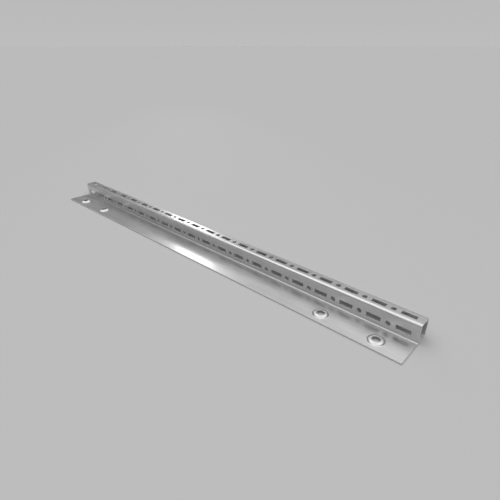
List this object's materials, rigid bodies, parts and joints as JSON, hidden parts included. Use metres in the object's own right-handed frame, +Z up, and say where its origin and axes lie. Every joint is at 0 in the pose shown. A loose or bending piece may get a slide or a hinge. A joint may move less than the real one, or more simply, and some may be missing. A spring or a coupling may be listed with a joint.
{
  "type": "rack mounting rail",
  "caption": "Straight mounting rail folded from one strip of zinc-plated sheet steel: a flat flange with raised fixing holes beside a channel punched with rows of slots and round holes.",
  "frame": {"origin": "middle of the underside of the bounding box: half-way along the rail, half-way across it, on the plane of the flange's underside", "axes": "+X along the rail, +Y from the flange's free edge towards the rear leg, +Z up from the flange's underside"},
  "size_m": [0.5, 0.043, 0.018],
  "materials": {
    "zinc_plated_steel": "satin zinc plating over cold-rolled sheet"
  },
  "bodies": {
    "root": {"mounting_rail": "zinc_plated_steel"}
  },
  "joints": []
}
